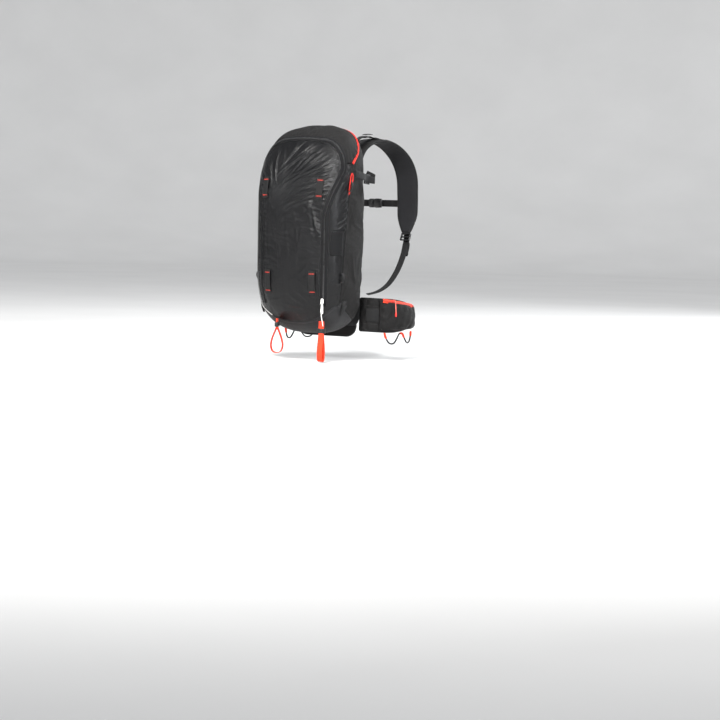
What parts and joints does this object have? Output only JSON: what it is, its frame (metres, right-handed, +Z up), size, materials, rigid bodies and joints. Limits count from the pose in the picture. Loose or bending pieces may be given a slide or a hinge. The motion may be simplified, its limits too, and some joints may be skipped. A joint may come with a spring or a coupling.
{
  "type": "avalanche airbag backpack",
  "caption": "Black ski touring pack with a fan-inflated airbag under a burst cover, a zip-open front, padded harness, hip belt and orange ski loops.",
  "frame": {"origin": "on the wearer's side of the lumbar pad, on the centre plane, level with the base of the bag", "axes": "+Y from the bag to the wearer, +Z up, +X to the wearer's right"},
  "size_m": [0.402, 0.5017, 0.6719],
  "materials": {
    "ripstop": "shiny black ripstop nylon with a tight grid",
    "fabric": "matte dark grey nylon",
    "base": "coated dark grey base fabric",
    "zip": "woven zip tape with coil teeth",
    "air_mesh": "black spacer mesh over foam",
    "foam": "moulded foam under brushed black mesh",
    "webbing": "black woven webbing",
    "orange_webbing": "orange-red woven webbing",
    "red_trim": "red corded trim",
    "airbag": "coated orange airbag nylon, folded",
    "plastic": "moulded black acetal",
    "red_plastic": "moulded red grip",
    "white_plastic": "white moulded pull",
    "sheet": "smooth polyethylene sheet",
    "aluminium": "bare drawn aluminium",
    "electronics": "dark grey moulded housing",
    "battery": "grey battery case"
  },
  "bodies": {
    "pack": {"front_zip": "zip", "front_surround": "ripstop", "base_panel": "base", "side_panel_right": "fabric", "side_panel_left": "fabric", "back_wall": "fabric", "airbag_folded": "airbag", "blower_housing": "plastic", "blower_cover": "plastic", "blower_motor": "aluminium", "controller_housing": "electronics", "battery_dock": "plastic", "trigger_cable": "webbing", "framesheet": "sheet", "frame_stay": "aluminium", "back_pad_right": "foam", "back_pad_left": "foam", "lumbar_pad": "foam", "yoke_panel": "air_mesh", "shoulder_strap_right": "air_mesh", "strap_webbing_right": "webbing", "strap_adjuster_right": "plastic", "load_lifter_right": "webbing", "compression_strap_right": "webbing", "shoulder_strap_left": "air_mesh", "strap_webbing_left": "webbing", "strap_adjuster_left": "plastic", "load_lifter_left": "webbing", "compression_strap_left": "webbing"},
    "flap": {"front_flap": "ripstop"},
    "zip_slider": {"front_zip_slider": "white_plastic"},
    "zip_pull": {"front_zip_pull": "white_plastic"},
    "cover": {"airbag_cover": "fabric", "burst_zip": "red_trim"},
    "fan": {"impeller": "electronics"},
    "valve": {"check_valve_flap": "red_plastic"},
    "button": {"power_button": "red_plastic"},
    "lever": {"trigger_lever": "aluminium"},
    "battery": {"battery_pack": "battery"},
    "handle": {"trigger_handle": "red_plastic"},
    "hip_right": {"hip_wing_right": "air_mesh", "hip_pocket_right": "fabric", "hip_webbing_right": "webbing", "gear_loops_right": "webbing", "hip_buckle_tongue": "plastic"},
    "hip_left": {"hip_wing_left": "air_mesh", "hip_pocket_left": "fabric", "hip_webbing_left": "webbing", "gear_loops_left": "webbing", "hip_buckle_socket": "plastic"},
    "buckle_button": {"hip_buckle_button": "aluminium"},
    "pocket_slider_right": {"pocket_zip_slider_right": "orange_webbing"},
    "pocket_slider_left": {"pocket_zip_slider_left": "orange_webbing"},
    "ski_right": {"ski_loop_right": "orange_webbing", "ski_lock_right": "plastic"},
    "ski_left": {"ski_loop_left": "orange_webbing", "ski_lock_left": "plastic"},
    "haul": {"haul_loop": "webbing"},
    "sternum": {"sternum_webbing": "webbing", "sternum_buckle": "plastic"}
  },
  "joints": [
    {"name": "front_flap_open", "type": "hinge", "parent": "pack", "child": "flap", "pos_m": [0, -0.2075, 0.085], "axis": [1, 0, 0], "range_deg": [0, 75]},
    {"name": "zip_slider_travel", "type": "hinge", "parent": "pack", "child": "zip_slider", "pos_m": [0.101, 0.2118, 0.2046], "axis": [-1, 0, 0], "range_deg": [0, 9]},
    {"name": "zip_pull_swing", "type": "hinge", "parent": "zip_slider", "child": "zip_pull", "pos_m": [0.101, -0.20663, 0.09446], "axis": [-1, 0, 0], "range_deg": [0, 150]},
    {"name": "airbag_cover_open", "type": "hinge", "parent": "pack", "child": "cover", "pos_m": [0, -0.1535, 0.5535], "axis": [1, 0, 0], "range_deg": [0, 110]},
    {"name": "impeller_spin", "type": "hinge", "parent": "pack", "child": "fan", "pos_m": [0, -0.05, 0.435], "axis": [0, 1, 0], "continuous": true},
    {"name": "check_valve_lift", "type": "hinge", "parent": "pack", "child": "valve", "pos_m": [0.041, -0.055, 0.481], "axis": [0, -1, 0], "range_deg": [0, 70]},
    {"name": "power_button_press", "type": "slide", "parent": "pack", "child": "button", "axis": [0, 1, 0], "range_m": [0, 0.0025], "stiffness_N_per_m": 400, "springref_m": -0.001},
    {"name": "trigger_handle_pull", "type": "slide", "parent": "pack", "child": "handle", "axis": [0, 0.2, -0.9798], "range_m": [0, 0.05], "stiffness_N_per_m": 60, "springref_m": -0.008},
    {"name": "trigger_lever_turn", "type": "hinge", "parent": "pack", "child": "lever", "pos_m": [-0.022, -0.047, 0.329], "axis": [0, 1, 0], "range_deg": [0, 25]},
    {"name": "battery_lift_out", "type": "slide", "parent": "pack", "child": "battery", "axis": [0, 0, 1], "range_m": [0, 0.045]},
    {"name": "hip_belt_right_open", "type": "hinge", "parent": "pack", "child": "hip_right", "pos_m": [0.112, -0.005, 0.055], "axis": [0, 0, -1], "range_deg": [0, 30]},
    {"name": "hip_belt_left_open", "type": "hinge", "parent": "pack", "child": "hip_left", "pos_m": [-0.112, -0.005, 0.055], "axis": [0, 0, 1], "range_deg": [0, 30]},
    {"name": "hip_buckle_button_press", "type": "slide", "parent": "hip_left", "child": "buckle_button", "axis": [0, -1, 0], "range_m": [0, 0.002], "stiffness_N_per_m": 400, "springref_m": -0.001},
    {"name": "pocket_zip_right_travel", "type": "slide", "parent": "hip_right", "child": "pocket_slider_right", "axis": [0, 0.9928, -0.1195], "range_m": [0, 0.09]},
    {"name": "pocket_zip_left_travel", "type": "slide", "parent": "hip_left", "child": "pocket_slider_left", "axis": [0, 0.9928, -0.1195], "range_m": [0, 0.09]},
    {"name": "ski_loop_right_swing", "type": "hinge", "parent": "pack", "child": "ski_right", "pos_m": [0.086, -0.1815, 0.041], "axis": [1, 0, 0], "range_deg": [-80, 12]},
    {"name": "ski_loop_left_swing", "type": "hinge", "parent": "pack", "child": "ski_left", "pos_m": [-0.056, -0.1935, 0.043], "axis": [1, 0, 0], "range_deg": [-80, 12]},
    {"name": "haul_loop_swing", "type": "hinge", "parent": "pack", "child": "haul", "pos_m": [0, -0.0122, 0.534], "axis": [1, 0, 0], "range_deg": [0, 165]},
    {"name": "sternum_strap_height", "type": "slide", "parent": "pack", "child": "sternum", "axis": [0, 0, 1], "range_m": [-0.02, 0.03]}
  ],
  "couplings": [
    {"joint": "trigger_lever_turn", "follows": "trigger_handle_pull", "rad_per_m": 8.7},
    {"joint": "hip_belt_left_open", "follows": "hip_belt_right_open", "ratio": 1}
  ]
}
